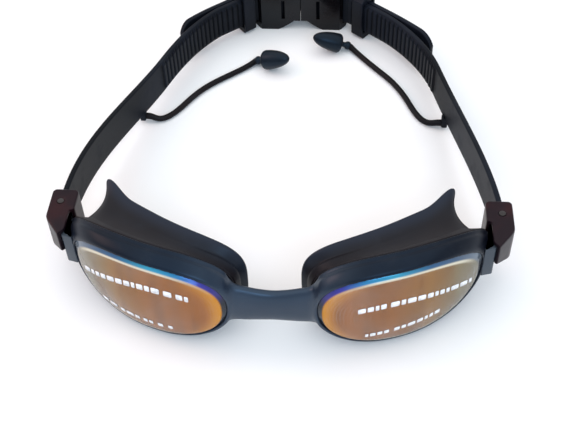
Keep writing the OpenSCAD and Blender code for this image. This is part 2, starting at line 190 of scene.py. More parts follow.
LENS_W, LENS_H, LENS_T = 56.6, 35.2, 2.0
NOSE_GAP, WRAP_R, WRAP_X, LENS_BULGE = 30.8, 70.0, 20.0, 3.2
FILM_T, ARM_H, ARM_T = 0.12, 14.0, 1.6
RIM_OUT, RIM_DEPTH, LEDGE_W = 2.9, 8.0, 1.5
BRIDGE_H, BRIDGE_T = 14.5, 5.6
SKIRT_T, SKIRT_NOSE, SKIRT_TEMPLE, WING, LIP_W, DIP = 1.4, 6.8, 15.0, 5.5, 3.0, 4.0
PIN_R, PIN_X, PIN_Y, PIN_Z, BACK_Z = 1.2, 79.0, -55.4, 21.0, 11.0
FRONT_Y, FALL_END_Y = -94.9, 36.6
LENS_A, LENS_B = LENS_W / 2, LENS_H / 2
EYE_X, EYE_Z = NOSE_GAP / 2 + LENS_A, LENS_B + RIM_OUT
EYE_POWER = 0.84  # of the cosine and sine: less than 1 squares the outline off


def eye_angles(count):
    """Angles round an eye, closer together at the temple, brow, nose and cheek, where it runs flat."""
    turn = np.arange(count) * 2 * np.pi / count
    return turn - 0.6 * np.sin(4 * turn) / 4


def wrap_y(x):
    d = np.maximum(0, x - WRAP_X)
    return FRONT_Y + WRAP_R - np.sqrt(WRAP_R**2 - d * d)


def eye_point(a, b, y_back, angle):
    """Point on a rounded rectangle of half-sizes a and b round the eye, at a depth behind the wrap."""
    x = EYE_X + a * signed_power(np.cos(angle), EYE_POWER)
    z = EYE_Z + b * signed_power(np.sin(angle), EYE_POWER)
    return np.stack(np.broadcast_arrays(x, wrap_y(x) + y_back, z), -1)


def rim_point(out, back, angle):
    return eye_point(LENS_A + out, LENS_B + out, back, angle)


def skirt_y(x):
    t = (x - 9.5) / 54
    return (
        FRONT_Y + RIM_DEPTH + SKIRT_NOSE + 29 * (0.35 * t + 0.65 * t * t)
        + (SKIRT_TEMPLE - 15) * t
    )


def wing_share(angle):
    d = (np.degrees(angle) + 180) % 360 - 180 - 45
    return np.exp(-(np.abs(d) / np.where(d > 0, 13.5, 12.0)) ** 2.4)


def skirt_point(t, inset, angle):
    """From the skirt's root (t = 0) to its rear edge (t = 1), bowed inwards at the temple."""
    cos_a, sin_a = np.cos(angle), np.sin(angle)
    side = np.maximum(0, cos_a) ** 2
    root = rim_point(RIM_OUT - 0.5 - inset - 1.6 * side, RIM_DEPTH, angle)
    rx = EYE_X - 7 + (27 - inset) * signed_power(cos_a, 0.62)
    rz = EYE_Z + (LENS_B - 0.4 - inset) * signed_power(sin_a, 0.62)
    w = wing_share(angle)
    ry = skirt_y(rx) + WING * w - DIP * np.maximum(0, cos_a) ** 6
    rear = np.stack(np.broadcast_arrays(rx + 3 * w, ry, rz + 2.2 * w), -1)
    bow = np.sin(np.pi * np.minimum(1, t))
    lean = np.stack(np.broadcast_arrays(-4.4 * side, 0.0, -1.2 * sin_a), -1)
    t = np.asarray(t)[..., None]
    return root + (rear - root) * t + bow[..., None] * lean


# ---- cords and ear plugs ----

CORD_D, PLUG_R, PLUG_L = 2.5, 4.4, 13.0
PLUG_Z, PLUG_SHOULDER = 2.1, 5.8
PLUG_TILT = np.arctan2(PLUG_R + 0.2 - PLUG_Z, PLUG_SHOULDER)
BOSS_FACE, BOSS_Y = 62.8, 20.2
LEFT_ROUTE = np.array([
    [-BOSS_FACE, BOSS_Y, 2.8], [-60.6, BOSS_Y, 2.8], [-57.6, 19.6, 1.5], [-54, 21.2, 1.4],
    [-50, 25.6, 1.4], [-45.5, 33.6, 1.4], [-40.5, 40.6, 1.4], [-34.5, 46.2, 1.4],
    [-28, 51.4, 1.4], [-22.5, 56, 1.4], [-18.6, 59.6, PLUG_Z],
])
RIGHT_ROUTE = np.array([
    [BOSS_FACE, BOSS_Y, 2.8], [60.4, BOSS_Y, 2.8], [57.4, 21, 1.5], [54, 24, 1.4],
    [51, 30, 1.4], [48.5, 36.6, 1.4], [45, 43.6, 1.4], [41, 49.6, 1.4],
    [36.2, 55.2, 1.4], [31.4, 61, 1.4], [26.6, 67.2, 1.4], [23.2, 71.2, PLUG_Z],
])
LEFT_PLUG_DIR = unit(np.array([0.9, -0.42]))
RIGHT_PLUG_DIR = unit(np.array([-0.98, -0.18]))


def smooth_route(route, steps):
    """The smooth curve through a route's points, with steps points from each to the next."""
    a, b = route[np.maximum(np.arange(len(route) - 1) - 1, 0)], route[:-1]
    c, d = route[1:], route[np.minimum(np.arange(len(route) - 1) + 2, len(route) - 1)]
    a, b, c, d = a[:, None], b[:, None], c[:, None], d[:, None]
    t = (np.arange(steps) / steps)[None, :, None]
    curve = 0.5 * (
        2 * b + (c - a) * t + (2 * a - 5 * b + 4 * c - d) * t**2
        + (3 * b - a - 3 * c + d) * t**3
    )
    line = np.concatenate([curve.reshape(-1, 3), route[-1:]])
    for _ in range(30):
        line[2:-2] += 0.5 * ((line[1:-3] + line[3:-1]) / 2 - line[2:-2])
    return line


def make_cord(name, route, plug_dir):
    """A round cord along its route, slightly flared where it leaves the boss and where it meets the plug."""
    line = smooth_route(route, 8)
    along = np.gradient(line, axis=0)
    along[0] = route[1] - route[0]
    along[-1] = [*(plug_dir * np.cos(PLUG_TILT)), np.sin(PLUG_TILT)]
    along = unit(along)
    side = unit(np.cross(along, [0, 0, 1.0]))
    up = np.cross(side, along)
    length = np.concatenate([[0], np.cumsum(np.linalg.norm(np.diff(line, axis=0), axis=1))])
    flare = 0.3 * np.exp(-length / 1.6) + 0.25 * np.exp(-(length[-1] - length) / 1.2)
    radius = CORD_D / 2 * (1 + np.minimum(flare, 0.12))
    turn = np.linspace(0, 2 * np.pi, 20, endpoint=False)
    rings = line[:, None] + radius[:, None, None] * (
        np.cos(turn)[None, :, None] * side[:, None] + np.sin(turn)[None, :, None] * up[:, None]
    )
    uv = np.broadcast_arrays(length[:, None] * MM, turn[None, :] / (2 * np.pi))
    return skin(name, rings, uv=uv), line, length[-1]


def make_plug(name, end, plug_dir):
    """A knob, a thin stem and a bullet-shaped head, turned about their axis and laid along the cord's end."""
    s = PLUG_SHOULDER
    knob = [(0, 0), (1.3, 0.0), (1.62, 0.12), (1.85, 0.5), (1.9, 1.0), (1.8, 1.6), (1.5, 2.05), (1.25, 2.4)]
    stem = [(1.18, 2.9), (1.15, s - 1.9), (1.25, s - 1.45), (1.7, s - 1.2), (2.6, s - 1.12), (3.3, s - 1.0),
            (3.9, s - 0.75), (4.25, s - 0.35), (PLUG_R, s + 0.2)]
    t = np.linspace(0.06, 1, 22)
    nose_r = PLUG_R * np.cos(np.pi / 2 * t**1.05) * (1 - 0.06 * t)
    nose = np.stack([nose_r, s + (PLUG_L - 0.6) * np.sin(np.pi / 2 * t)], -1)
    profile = np.concatenate([knob, stem, nose])
    profile[-1, 0] = 0.0
    turn = np.linspace(0, 2 * np.pi, 48, endpoint=False)
    forward = np.array([*(plug_dir * np.cos(PLUG_TILT)), np.sin(PLUG_TILT)])
    side = unit(np.cross(forward, [0, 0, 1.0]))
    up = np.cross(side, forward)
    spokes = np.cos(turn)[:, None] * side + np.sin(turn)[:, None] * up
    rings = end + profile[:, 1, None, None] * forward + profile[:, 0, None, None] * spokes[None]
    head = np.broadcast_to(smooth_step((profile[:, 1] - s + 1.4) / 1.5)[:, None], rings.shape[:2])
    return skin(name, rings, caps=False, marks={"head": head})


cord_pieces = []
for side_name, route, plug_dir in (
    ("left", LEFT_ROUTE, LEFT_PLUG_DIR),
    ("right", RIGHT_ROUTE, RIGHT_PLUG_DIR),
):
    body = f"{side_name}_half_strap"
    cord, line, cord_length = make_cord(f"{side_name}_cord", route, plug_dir)
    plug = make_plug(f"{side_name}_plug", route[-1], plug_dir)
    fit_out(cord, None, body, "cord_silicone", f"{side_name}_earplug_cord")
    fit_out(plug, None, body, "plug_silicone", f"{side_name}_earplug")
    cord_pieces += [(cord, "cord"), (plug, "plug")]

# ---- finishes ----


class Nodes:
    """Short words for building a node tree."""

    def __init__(self, tree):
        self.tree = tree

    def add(self, kind, values=None, **settings):
        node = self.tree.nodes.new(kind)
        for key, value in settings.items():
            setattr(node, key, value)
        for key, value in (values or {}).items():
            self.put(node, key, value)
        return node

    def put(self, node, key, value):
        socket = node.inputs[key]
        if isinstance(value, bpy.types.NodeSocket):
            self.tree.links.new(value, socket)
        else:
            socket.default_value = value

    def maths(self, operation, a, b=0.0, c=0.0, clamp=False):
        node = self.add("ShaderNodeMath", operation=operation, use_clamp=clamp)
        for i, value in enumerate((a, b, c)):
            self.put(node, i, value)
        return node.outputs[0]

    def mix(self, share, a, b):
        node = self.add("ShaderNodeMix", data_type="RGBA")
        self.put(node, 0, share)
        self.put(node, 6, a)
        self.put(node, 7, b)
        return node.outputs[2]

    def noise(self, where, scale, detail=3.0, rough=0.5):
        values = {"Vector": where, "Scale": scale, "Detail": detail, "Roughness": rough}
        return self.add("ShaderNodeTexNoise", values).outputs[0]

    def stretched(self, where, scales, detail=3.0, rough=0.5):
        """Noise with its own scale along each axis."""
        place = self.add("ShaderNodeMapping", {"Vector": where, "Scale": scales}).outputs[0]
        return self.noise(place, 1.0, detail, rough)

    def mark(self, name):
        return self.add("ShaderNodeAttribute", attribute_name=name).outputs["Fac"]

    def span(self, value, low, high, to_low=0.0, to_high=1.0):
        """A value from low to high, carried to another range with level ends."""
        node = self.add("ShaderNodeMapRange", interpolation_type="SMOOTHSTEP")
        for i, v in enumerate((value, low, high, to_low, to_high)):
            self.put(node, i, v)
        return node.outputs[0]

    def ramp(self, value, stops):
        node = self.add("ShaderNodeValToRGB", {"Fac": value})
        ramp = node.color_ramp
        while len(ramp.elements) < len(stops):
            ramp.elements.new(0.5)
        for element, (place, colour) in zip(ramp.elements, stops):
            element.position = place
            element.color = (*colour, 1.0)
        return node.outputs[0]


def shader_group(name, inputs, outputs):
    """An empty group with named inputs and outputs; returns its nodes, its input node and its output node."""
    tree = bpy.data.node_groups.new(name, "ShaderNodeTree")
    kinds = {"value": "NodeSocketFloat", "colour": "NodeSocketColor", "vector": "NodeSocketVector"}
    for words, in_out in ((inputs, "INPUT"), (outputs, "OUTPUT")):
        for label, kind in words:
            tree.interface.new_socket(label, in_out=in_out, socket_type=kinds[kind])
    n = Nodes(tree)
    return n, n.add("NodeGroupInput"), n.add("NodeGroupOutput")


def make_satin_group():
    """Moulded silicone: slow changes of tone, a fine grain, and dull smudges where it has been handled."""
    n, given, result = shader_group(
        "satin_silicone",
        [("Colour", "colour"), ("Second colour", "colour"), ("Tone size", "value"), ("Grain size", "value"),
         ("Roughness low", "value"), ("Roughness high", "value")],
        [("Colour", "colour"), ("Roughness", "value"), ("Height", "value")],
    )
    where = n.add("ShaderNodeTexCoord").outputs["Object"]
    tone = n.span(n.noise(where, given.outputs["Tone size"], 4.0, 0.55), 0.36, 0.66)
    grain = n.noise(where, given.outputs["Grain size"], 4.0, 0.6)
    smudge = n.span(n.noise(where, 95.0, 5.0, 0.62), 0.5, 0.72)
    colour = n.mix(tone, given.outputs["Colour"], given.outputs["Second colour"])
    dusty = n.mix(n.maths("MULTIPLY", smudge, 0.12), colour, (0.04, 0.045, 0.055, 1.0))
    n.put(result, "Colour", dusty)
    spread = n.maths("SUBTRACT", given.outputs["Roughness high"], given.outputs["Roughness low"])
    share = n.maths("ADD", n.maths("MULTIPLY", smudge, 0.6), n.maths("MULTIPLY", grain, 0.4), clamp=True)
    n.put(result, "Roughness", n.maths("MULTIPLY_ADD", spread, share, given.outputs["Roughness low"]))
    n.put(result, "Height", n.maths("ADD", n.maths("MULTIPLY", grain, 0.6), n.maths("MULTIPLY", tone, 0.25)))
    return n.tree


SATIN = make_satin_group()
GRAIN, GRAIN_STRENGTH = 1500.0, 0.05


def new_material(name):
    material = bpy.data.materials.new(name)
    material.use_nodes = True
    material.node_tree.nodes.clear()
    n = Nodes(material.node_tree)
    out = n.add("ShaderNodeOutputMaterial")
    shader = n.add("ShaderNodeBsdfPrincipled")
    n.put(out, "Surface", shader.outputs[0])
    return material, n, shader


def silicone(
    name, colour, second, rough=(0.38, 0.55), tone=18.0, gloss=0.3, cool=0.0,
    ribs=None, reach=None, bridge=False,
):
    """Satin silicone with its own tones; ribs names a mark whose low values, in the grooves between the ribs, get
    painted shade;
    reach names one along which it turns from painted warm shade near the skirt's root to a painted cool sheen at its
    lip, and bridge makes it glossier near the nose and paints a blue sheen on it there."""
    material, n, shader = new_material(name)
    satin = n.add("ShaderNodeGroup")
    satin.node_tree = SATIN
    for key, value in (("Colour", (*colour, 1.0)), ("Second colour", (*second, 1.0)), ("Tone size", tone),
                       ("Grain size", GRAIN), ("Roughness low", rough[0]), ("Roughness high", rough[1])):
        satin.inputs[key].default_value = value
    shade = satin.outputs["Colour"]
    # painted shade: the grooves between the strap's ribs are mixed towards near-black
    if ribs:
        shade = n.mix(n.span(n.mark(ribs), 0.1, 0.9, 0.75, 0.0), shade, (0.004, 0.004, 0.005, 1.0))
    # painted shade and sheen: darker and warmer near the skirt's root where it meets the rim, and a painted cool blue
    # sheen towards its lip
    if reach:
        shade = n.mix(n.span(n.mark(reach), 0.1, 0.6, 0.75, 0.0), shade, (0.0075, 0.0035, 0.0038, 1.0))
        shade = n.mix(n.span(n.mark(reach), 0.6, 1.0, 0.0, 0.6), shade, (0.017, 0.023, 0.040, 1.0))
    n.put(shader, "Base Color", shade)
    n.put(shader, "Roughness", satin.outputs["Roughness"])
    bumps = n.add("ShaderNodeBump", {"Strength": GRAIN_STRENGTH, "Distance": 0.0004, "Height": satin.outputs["Height"]})
    n.put(shader, "Normal", bumps.outputs[0])
    shader.inputs["Specular IOR Level"].default_value = gloss
    if bridge:
        where = n.add("ShaderNodeTexCoord").outputs["Object"]
        side = n.maths("ABSOLUTE", n.add("ShaderNodeSeparateXYZ", {"Vector": where}).outputs[0])
        n.put(shader, "Specular IOR Level", n.span(side, 0.012, 0.034, gloss, gloss * 0.32))
        # painted sheen: steel blue mixed in near the nose stands in for cool light reflected off the bridge
        steel = n.mix(n.span(side, 0.010, 0.030, 0.7, 0.0), shade, (0.014, 0.022, 0.040, 1.0))
        n.put(shader, "Base Color", steel)
    shader.inputs["Specular Tint"].default_value = (1 - 0.6 * cool, 1 - 0.32 * cool, 1.0, 1.0)
    return material


def make_lens_material():
    """Tinted polycarbonate with a mirror coat: orange at the nose, tan in the middle, smoky green at the temple.
    Painted light on top:
    a painted reflection band of blue to violet on its top edge, painted shade round the rest of its edge, dark streaky
    painted reflections inside it, and painted glowing bands and a painted highlight near its edges."""
    material, n, shader = new_material("lens_tint")
    where = n.add("ShaderNodeTexCoord").outputs["Object"]
    cloud = n.noise(where, 42.0, 4.0, 0.6)
    # painted reflection: dark brown streaky marks stand in for reflections seen inside the lens
    painted_reflection_streaks = n.stretched(where, (160.0, 30.0, 22.0), 5.0, 0.65)
    across = n.maths("ADD", n.mark("across"), n.maths("MULTIPLY", n.maths("SUBTRACT", cloud, 0.5), 0.16))
    tint = n.ramp(across, [
        (0.0, (0.44, 0.16, 0.012)), (0.14, (0.30, 0.10, 0.018)), (0.45, (0.28, 0.105, 0.026)),
        (0.68, (0.27, 0.135, 0.04)), (0.84, (0.20, 0.15, 0.075)), (1.0, (0.17, 0.175, 0.13)),
    ])
    tint = n.mix(n.span(painted_reflection_streaks, 0.38, 0.7, 0.0, 0.55), tint, (0.15, 0.055, 0.015, 1.0))
    # painted light: a brighter orange band towards the edge on the nose side, standing in for light caught in the lens
    painted_nose_glow = n.maths("MULTIPLY", n.span(n.mark("share"), 0.72, 0.93), n.span(n.mark("across"), 0.34, 0.02))
    tint = n.mix(n.maths("MULTIPLY", painted_nose_glow, 0.8), tint, (0.62, 0.25, 0.01, 1.0))
    # painted reflection and shade at the edge: a blue to violet band where the edge faces up, and near-black painted
    # shade round the rest of the edge where it sits in the rim
    edge = n.span(n.mark("share"), 0.93, 0.955)
    top = n.span(n.mark("crown"), 0.1, 0.45)
    band = n.ramp(n.mark("across"), [
        (0.0, (0.05, 0.04, 0.12)), (0.14, (0.05, 0.05, 0.34)), (0.28, (0.02, 0.20, 0.42)),
        (0.45, (0.03, 0.30, 0.46)), (0.66, (0.05, 0.13, 0.26)), (0.85, (0.10, 0.14, 0.2)),
        (1.0, (0.16, 0.2, 0.24)),
    ])
    # painted highlight: a pale golden line just inside the top edge, stronger away from the nose
    painted_top_highlight = n.maths("MULTIPLY", n.span(n.mark("share"), 0.885, 0.925), n.span(n.mark("crown"), 0.3, 0.7))
    painted_top_highlight = n.maths("MULTIPLY", painted_top_highlight, n.span(n.mark("across"), 0.12, 0.4, 0.25, 0.85))
    tint = n.mix(painted_top_highlight, tint, (0.80, 0.74, 0.58, 1.0))
    # painted light: a pale green-white band along the bottom edge, stronger towards the temple, standing in for light
    # caught in the lens's edge
    foot = n.maths("MULTIPLY", n.span(n.mark("share"), 0.84, 0.93), n.span(n.mark("crown"), -0.35, -0.8))
    foot = n.maths("MULTIPLY", foot, n.span(n.mark("across"), 0.2, 0.5, 0.1, 0.6))
    tint = n.mix(foot, tint, (0.52, 0.54, 0.44, 1.0))
    rim = n.mix(top, (0.02, 0.024, 0.032, 1.0), band)
    n.put(shader, "Base Color", n.mix(edge, tint, rim))
    n.put(shader, "Roughness", n.maths("ADD", n.maths("MULTIPLY", n.noise(where, 260.0, 4.0), 0.1), 0.08))
    shader.inputs["Metallic"].default_value = 0.15
    shader.inputs["Transmission Weight"].default_value = 0.08
    shader.inputs["Specular IOR Level"].default_value = 0.14
    shader.inputs["IOR"].default_value = 1.5
    shader.inputs["Coat Weight"].default_value = 0.15
    shader.inputs["Coat Roughness"].default_value = 0.04
    return material


def make_film_material():
    """Clear protective film, faintly milky, with soft creases."""
    material, n, shader = new_material("clear_film")
    where = n.add("ShaderNodeTexCoord").outputs["Object"]
    crease = n.stretched(where, (40.0, 40.0, 120.0))
    n.put(shader, "Base Color", n.ramp(crease, [(0.0, (0.78, 0.80, 0.80)), (1.0, (0.95, 0.96, 0.96))]))
    n.put(shader, "Alpha", n.span(n.noise(where, 60.0, 4.0), 0.4, 0.7, 0.015, 0.05))
    n.put(shader, "Roughness", n.span(crease, 0.3, 0.7, 0.08, 0.2))
    bumps = n.add("ShaderNodeBump", {"Strength": 0.08, "Distance": 0.0004, "Height": crease})
    n.put(shader, "Normal", bumps.outputs[0])
    return material


def make_print_material():
    """White ink, slightly worn."""
    material, n, shader = new_material("white_ink")
    where = n.add("ShaderNodeTexCoord").outputs["Object"]
    worn = n.noise(where, 900.0, 3.0)
    n.put(shader, "Base Color", n.ramp(worn, [(0.3, (0.72, 0.72, 0.74)), (0.6, (0.95, 0.95, 0.97))]))
    n.put(shader, "Roughness", n.span(worn, 0.3, 0.7, 0.4, 0.6))
    return material


def moulded_plastic(name, colour, second, rough=(0.26, 0.42), coat=0.05, hue=(1.0, 0.72, 0.76)):
    """Semi-gloss moulded plastic with a slow change of tone and fine scuffs."""
    material, n, shader = new_material(name)
    where = n.add("ShaderNodeTexCoord").outputs["Object"]
    slow = n.noise(where, 60.0, 3.0)
    scuff = n.stretched(where, (600.0, 140.0, 600.0), 4.0, 0.7)
    base = n.mix(n.span(slow, 0.38, 0.62), (*colour, 1.0), (*second, 1.0))
    n.put(shader, "Base Color", n.mix(n.span(scuff, 0.62, 0.8, 0.0, 0.12), base, (0.06, 0.06, 0.07, 1.0)))
    worn = n.maths("ADD", slow, n.maths("MULTIPLY", scuff, 0.4))
    n.put(shader, "Roughness", n.span(worn, 0.4, 1.0, *rough))
    bumps = n.add("ShaderNodeBump", {"Strength": 0.04, "Distance": 0.0003, "Height": scuff})
    n.put(shader, "Normal", bumps.outputs[0])
    shader.inputs["Specular IOR Level"].default_value = 0.16
    shader.inputs["Specular Tint"].default_value = (*hue, 1.0)
    shader.inputs["Coat Weight"].default_value = coat
    shader.inputs["Coat Roughness"].default_value = 0.12
    return material


def make_steel_material():
    """Blackened steel with fine turning marks."""
    material, n, shader = new_material("pin_metal")
    where = n.add("ShaderNodeTexCoord").outputs["Object"]
    marks = n.stretched(where, (200.0, 200.0, 4000.0))
    n.put(shader, "Base Color", n.ramp(marks, [(0.3, (0.05, 0.045, 0.045)), (0.7, (0.09, 0.085, 0.085))]))
    n.put(shader, "Roughness", n.span(marks, 0.3, 0.7, 0.28, 0.45))
    shader.inputs["Metallic"].default_value = 1.0
    return material


NAVY = (0.007, 0.009, 0.015)
INK = (0.0025, 0.0027, 0.004)
UMBER = (0.008, 0.005, 0.0055)
finish = {
    # the frame gets a painted blue sheen at the bridge
    "frame": silicone(
        "frame_silicone", (0.006, 0.011, 0.022), (0.0035, 0.004, 0.008), (0.3, 0.44),
        gloss=0.66, cool=0.8, bridge=True,
    ),
    # the gasket gets painted shade near its root and a painted cool sheen at its lip
    "gasket": silicone("gasket_silicone", NAVY, UMBER, (0.38, 0.54), gloss=0.23, cool=0.5, reach="reach"),
    # the strap's rib grooves get painted shade
    "strap": silicone(
        "strap_silicone", INK, NAVY, (0.45, 0.62), tone=12.0, gloss=0.13, cool=0.4, ribs="groove",
    ),
    "keeper": silicone("keeper_silicone", INK, NAVY, (0.36, 0.5), gloss=0.13, cool=0.3),
    "cord": silicone("cord_silicone", INK, UMBER, (0.4, 0.55), gloss=0.14, cool=0.2),
    "plug": silicone("plug_silicone", (0.007, 0.010, 0.016), INK, (0.34, 0.5), gloss=0.28, cool=0.9),
    "lens": make_lens_material(),
    "film": make_film_material(),
    "print": make_print_material(),
    # dark red-brown plastic; its red-brown tone is partly the plastic's own and partly a painted warm reflection
    "clip": moulded_plastic("clip_plastic", (0.022, 0.006, 0.008), (0.008, 0.005, 0.008)),
    "clasp": moulded_plastic(
        "clasp_plastic", (0.0025, 0.0026, 0.0035), (0.005, 0.0035, 0.004), (0.16, 0.3),
        coat=0.25, hue=(0.7, 0.85, 1.0),
    ),
    "pin": make_steel_material(),
}
for obj, kind in cord_pieces:
    obj.data.materials.append(finish[kind])

# ---- frame: two rims and the bridge, moulded in one ----


def rim_rings():
    """The rim's section carried round the eye: a seat for the lens, a ridge, a rear bead and a flat back."""
    outline = [
        (0.0, 2.0), (-LEDGE_W, 2.0), (-LEDGE_W, RIM_DEPTH), (2.5, RIM_DEPTH), (2.86, 7.75), (2.86, 7.1),
        (2.5, 6.5), (2.7, 5.6), (RIM_OUT, 4.7), (2.3, 2.6), (1.45, 0.9), (0.75, 0.42), (0.0, 0.4),
    ]
    radii = [0.3, 0.5, 0.4, 0.3, 0.3, 0.3, 0.4, 0.5, 1.2, 1.0, 0.7, 0.3, 0.15]
    section = divided(filleted(outline, np.array(radii)), 0.35)
    angle = eye_angles(260)
    return rim_point(section[None, :, 0], section[None, :, 1], angle[:, None])


def bridge_rings():
    """Oval slices across the nose, taller towards the rims, with a softly flattened front."""
    end = NOSE_GAP / 2 + 0.4
    x = np.linspace(-end, end, 61)
    s = np.abs(x) / end
    height = BRIDGE_H + (20 - BRIDGE_H) * s**1.6
    middle = PIN_Z - 3.4 + 1.8 * s**2
    depth = BRIDGE_T * (1 + 0.06 * s)
    turn = np.linspace(0, 2 * np.pi, 64, endpoint=False)
    y = FRONT_Y + RIM_DEPTH - BRIDGE_T / 2 - 0.1 + depth[:, None] / 2 * signed_power(np.cos(turn), 0.9)
    z = middle[:, None] + height[:, None] / 2 * signed_power(np.sin(turn), 0.9)
    return np.stack(np.broadcast_arrays(x[:, None], y, z), -1)


def relax(points, edges, weight, rounds):
    """Moves each point part of the way to the middle of its neighbours, by its weight, again and again."""
    a, b = edges[:, 0], edges[:, 1]
    total = np.bincount(np.concatenate([a, b]), minlength=len(points))[:, None]
    for _ in range(rounds):
        sums = np.stack([
            np.bincount(np.concatenate([a, b]), np.concatenate([points[b, k], points[a, k]]), len(points))
            for k in range(3)
        ], -1)
        points = points + weight[:, None] * (sums / np.maximum(total, 1) - points)
    return points


def one_skin(rough, name, size):
    """A copy of an object made one skin on a fine voxel grid; returns its mesh, points in mm and edges."""
    voxels = rough.modifiers.new("one_skin", "REMESH")
    voxels.mode = "VOXEL"
    voxels.voxel_size = size * MM
    depsgraph = bpy.context.evaluated_depsgraph_get()
    mesh = bpy.data.meshes.new_from_object(rough.evaluated_get(depsgraph))
    mesh.name = name
    bpy.data.objects.remove(rough)
    points = np.zeros(len(mesh.vertices) * 3)
    mesh.vertices.foreach_get("co", points)
    edges = np.zeros(len(mesh.edges) * 2, np.int64)
    mesh.edges.foreach_get("vertices", edges)
    return mesh, points.reshape(-1, 3) / MM, edges.reshape(-1, 2)


def from_skin(name, mesh, points):
    """A smooth-shaded object of a skin whose points have moved."""
    mesh.vertices.foreach_set("co", (points * MM).ravel())
    mesh.update()
    mesh.shade_smooth()
    obj = bpy.data.objects.new(name, mesh)
    SCENE.collection.objects.link(obj)
    return obj


def make_frame():
    """The rims and the bridge made one skin, then relaxed where they meet, into soft fillets."""
    rim = rim_rings()
    bridge = bridge_rings()
    points, faces, start = [], [], 0
    for rings, closed in ((rim, True), (rim[:, ::-1] * LEFT, True), (bridge, False)):
        count, m = rings.shape[:2]
        quads = grid_faces(count, m, closed)
        faces += (quads + start).tolist()
        if not closed:
            faces += [[start + j for j in range(m)][::-1], [start + (count - 1) * m + j for j in range(m)]]
        points.append(rings.reshape(-1, 3))
        start += count * m
    rough = new_object("frame_rough", np.concatenate(points), faces)
    mesh, points, edges = one_skin(rough, "frame_moulding", 0.36)
    points = relax(points, edges, np.full(len(points), 0.5), 3)
    meeting = np.exp(-(((np.abs(points[:, 0]) - 13.2) / 2.6) ** 2))
    seat = smooth_step((np.abs(points[:, 0]) - 15.0) / 1.0)
    points = relax(points, edges, 0.6 * meeting * (1 - seat), 60)
    obj = from_skin("frame_moulding", mesh, points)
    fit_out(obj, finish["frame"], "goggles", "frame_silicone", "frame")


make_frame()

# ---- gaskets ----


def gasket_rings():
    """The skirt's section carried round the eye: bonded foot, bowed outer face with a bead at the nose,
    turned-in lip and inner face."""
    angle = eye_angles(300)[:, None]
    nose = smooth_step((-np.cos(angle) + 0.3) / 0.9)
    t = np.linspace(0.12, 0.985, 34)[None, :]
    swell = -0.75 * np.exp(-(((t - 0.88) / 0.13) ** 2)) + 0.45 * np.exp(-(((t - 0.58) / 0.09) ** 2))
    outer = skirt_point(t, swell * nose, angle)
    end_t = np.array([[1.01, 1.028, 1.038, 1.04, 1.038, 1.03, 1.012,
                       0.988, 0.968, 0.95, 0.938, 0.928, 0.918, 0.905]])
    end_in = np.array([[0.08, 0.32, 0.7, 1.2, 1.7, 2.3, 2.75, 2.98, 3.0, 2.9, 2.6, 2.2, 1.8, 1.5]])
    lip = skirt_point(end_t, end_in * (LIP_W / 3), angle)
    t = np.linspace(0.88, 0.15, 26)[None, :]
    inner = skirt_point(t, np.full_like(t, SKIRT_T), angle)
    foot = np.array([
        (-1.32, 8.8), (-1.46, 8.4), (-LEDGE_W, RIM_DEPTH), (0.5, RIM_DEPTH),
        (2.35, RIM_DEPTH), (2.46, 8.12), (2.44, 8.4), (2.36, 8.8),
    ])
    base = rim_point(foot[None, :, 0], foot[None, :, 1], angle)
    rings = np.concatenate([base, outer, lip, inner], axis=1)
    # how far along the skirt each point lies; the gasket's finish paints shade near the root and sheen at the lip from
    # it
    reach = np.concatenate([
        np.zeros(len(foot)), np.linspace(0.12, 0.985, 34), np.ones(14), np.linspace(0.88, 0.15, 26),
    ])
    return rings, np.broadcast_to(reach, rings.shape[:2])


def lens_rings():
    """A bulged shell with a bevelled, rounded edge; share runs from its middle (0) to its edge (1)."""
    s_front = np.concatenate([np.linspace(0, 0.9, 26), np.linspace(0.915, 0.985, 9)])
    s_back = s_front[::-1]
    edge = [(0.994, 1.0), (0.999, 1.16), (1.0, 1.4), (1.0, 1.75), (0.996, 1.92), (0.99, 2.0)]
    share = np.concatenate([s_front, [e[0] for e in edge], s_back])
    bevel = 0.9 * smooth_step((s_front - 0.93) / 0.06)
    depth = np.concatenate([bevel, [e[1] for e in edge], np.full(len(s_back), LENS_T)])
    angle = eye_angles(220)
    share, depth = share[:, None], depth[:, None]
    back = depth - LENS_BULGE * (1 - share**2)
    rings = eye_point(LENS_A * share, LENS_B * share, back, angle[None, :])
    across = np.broadcast_to((rings[..., 0] - NOSE_GAP / 2) / LENS_W, rings.shape[:2])
    crown = np.broadcast_to(np.sin(angle)[None, :] * share, rings.shape[:2])
    return rings, {"share": np.broadcast_to(share, rings.shape[:2]), "across": across, "crown": crown}


def film_rings():
    """A thin sheet on the lens, with a slightly wavy edge."""
    angle = eye_angles(220)
    s = np.concatenate([np.linspace(0, 0.93, 24), np.linspace(0.93, 0, 24)])[:, None]
    wave = 1 + 0.0035 * np.sin(9 * angle) + 0.0025 * np.sin(17 * angle + 1)
    share = s * np.where(s > 0.9, wave[None, :], 1.0)
    lift = np.concatenate([np.full(24, -FILM_T), np.zeros(24)])[:, None]
    back = lift - LENS_BULGE * (1 - share**2)
    return eye_point(LENS_A * share, LENS_B * share, back, angle[None, :])


def arm_outline():
    """Plan of the lens's side arm, as in the CAD."""
    arm_x = PIN_X - (PIN_R + 1.2) - 1.1
    root = np.array([72.1, wrap_y(72.1) + LENS_T / 2 + 0.3])
    bend = np.array([arm_x, wrap_y(73.0) + 1.2])
    end = np.array([arm_x, PIN_Y + 3])
    d = unit(bend - root)
    side = np.array([-d[1], d[0]]) * ARM_T / 2
    turn = ARM_T / 2 * np.tan((np.pi / 2 - np.arctan2(d[1], d[0])) / 2)
    h = ARM_T / 2
    return np.array([root - side, [arm_x + h, bend[1] - turn], [arm_x + h, end[1]], [arm_x - h, end[1]],
                     [arm_x - h, bend[1] + turn], root + side])


